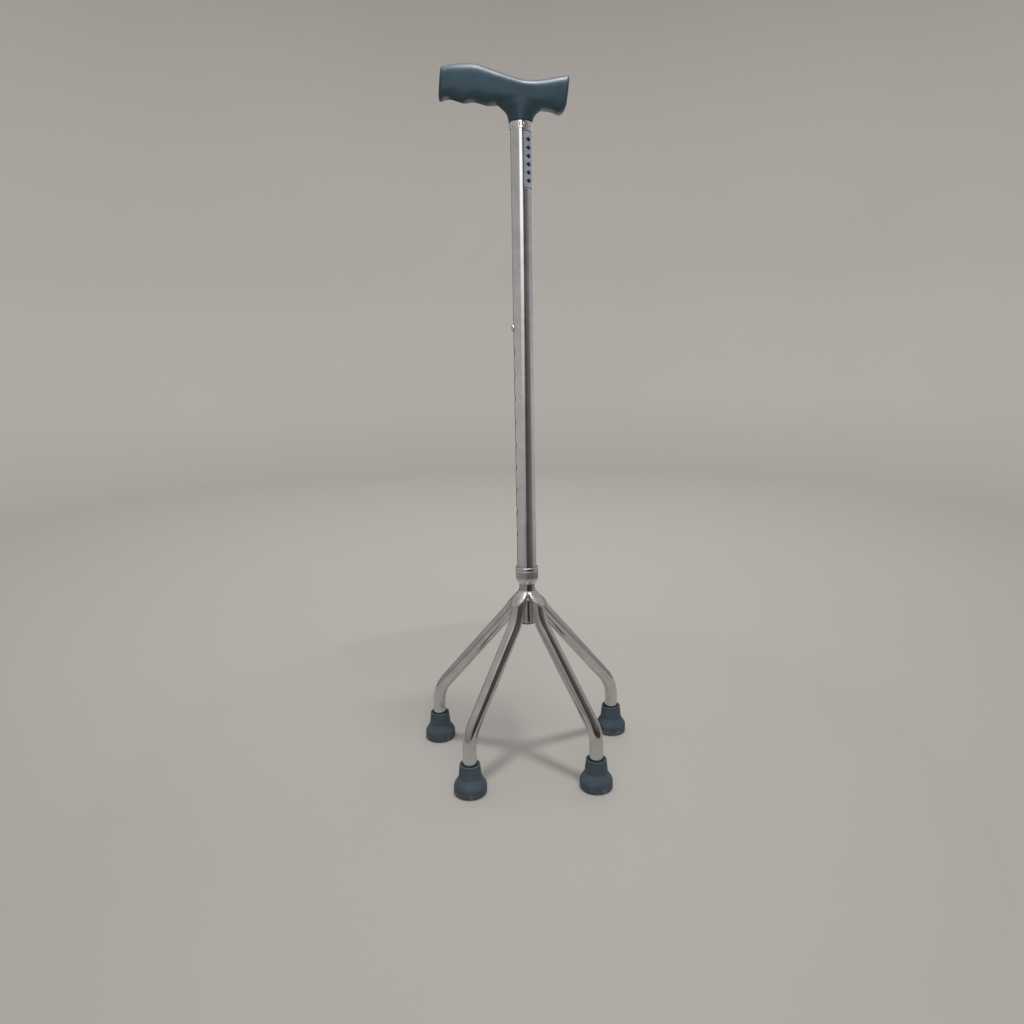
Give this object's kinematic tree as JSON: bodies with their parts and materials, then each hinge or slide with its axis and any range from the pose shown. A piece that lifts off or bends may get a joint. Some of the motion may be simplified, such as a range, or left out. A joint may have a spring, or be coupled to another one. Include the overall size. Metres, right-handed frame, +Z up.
{
  "type": "quad walking cane",
  "caption": "Height-adjustable walking cane: offset grip with finger waves, snap-button tube with lock nut, and a splayed base of bent tube legs on rubber ferrules.",
  "frame": {"origin": "floor level on the shaft axis, which is also the centre of the rectangle around the feet", "axes": "+Z up along the shaft, +X towards the short end of the grip, -Y towards the two closer-set legs"},
  "size_m": [0.2618, 0.1698, 0.7777],
  "materials": {
    "grip": "fine moulded satin, slate blue-grey",
    "foot_rubber": "matte moulded rubber, dark blue-grey",
    "satin_aluminium": "polished anodised, fine vertical drawing lines",
    "chrome_tube": "bright chrome plating",
    "collar_chrome": "bright chrome plating",
    "nut_metal": "satin nickel, knurled band",
    "spring_steel": "zinc plated",
    "button_steel": "polished dome",
    "black_plastic": "moulded, matte",
    "white_nylon": "moulded nylon",
    "label": "thin printed film, slightly glossy"
  },
  "bodies": {
    "base": {"post_tube": "chrome_tube", "post_end_plug": "black_plastic", "guide_bush": "white_nylon", "button_spring": "spring_steel", "weld_collar": "chrome_tube", "leg_front_left": "chrome_tube", "foot_front_left": "foot_rubber", "foot_washer_front_left": "spring_steel", "leg_front_right": "chrome_tube", "foot_front_right": "foot_rubber", "foot_washer_front_right": "spring_steel", "leg_rear_left": "chrome_tube", "foot_rear_left": "foot_rubber", "foot_washer_rear_left": "spring_steel", "leg_rear_right": "chrome_tube", "foot_rear_right": "foot_rubber", "foot_washer_rear_right": "spring_steel"},
    "upper": {"upper_tube": "satin_aluminium", "threaded_sleeve": "nut_metal", "tube_plug": "black_plastic", "handle_collar": "collar_chrome", "handle_grip": "grip", "handle_screw": "spring_steel", "label_band": "label"},
    "button": {"snap_button": "button_steel"},
    "clamp": {"clamp_ring": "white_nylon"},
    "nut": {"lock_nut": "nut_metal"}
  },
  "joints": [
    {"name": "height_adjust", "type": "slide", "parent": "base", "child": "upper", "axis": [0, 0, 1], "range_m": [0, 0.2286], "deforming": ["snap_button", "button_spring"]},
    {"name": "button_press", "type": "slide", "parent": "base", "child": "button", "axis": [1, 0, 0], "range_m": [0, 0.0042], "stiffness_N_per_m": 1500, "deforming": ["button_spring"]},
    {"name": "clamp_ring_slide", "type": "slide", "parent": "upper", "child": "clamp", "axis": [0, 0, -1], "range_m": [0, 0.003]},
    {"name": "lock_nut_turn", "type": "hinge", "parent": "clamp", "child": "nut", "pos_m": [0, 0, 0.2366], "axis": [0, 0, -1], "range_deg": [0, 720]}
  ],
  "couplings": [
    {"joint": "clamp_ring_slide", "follows": "lock_nut_turn", "m_per_rad": 0.0002387}
  ]
}
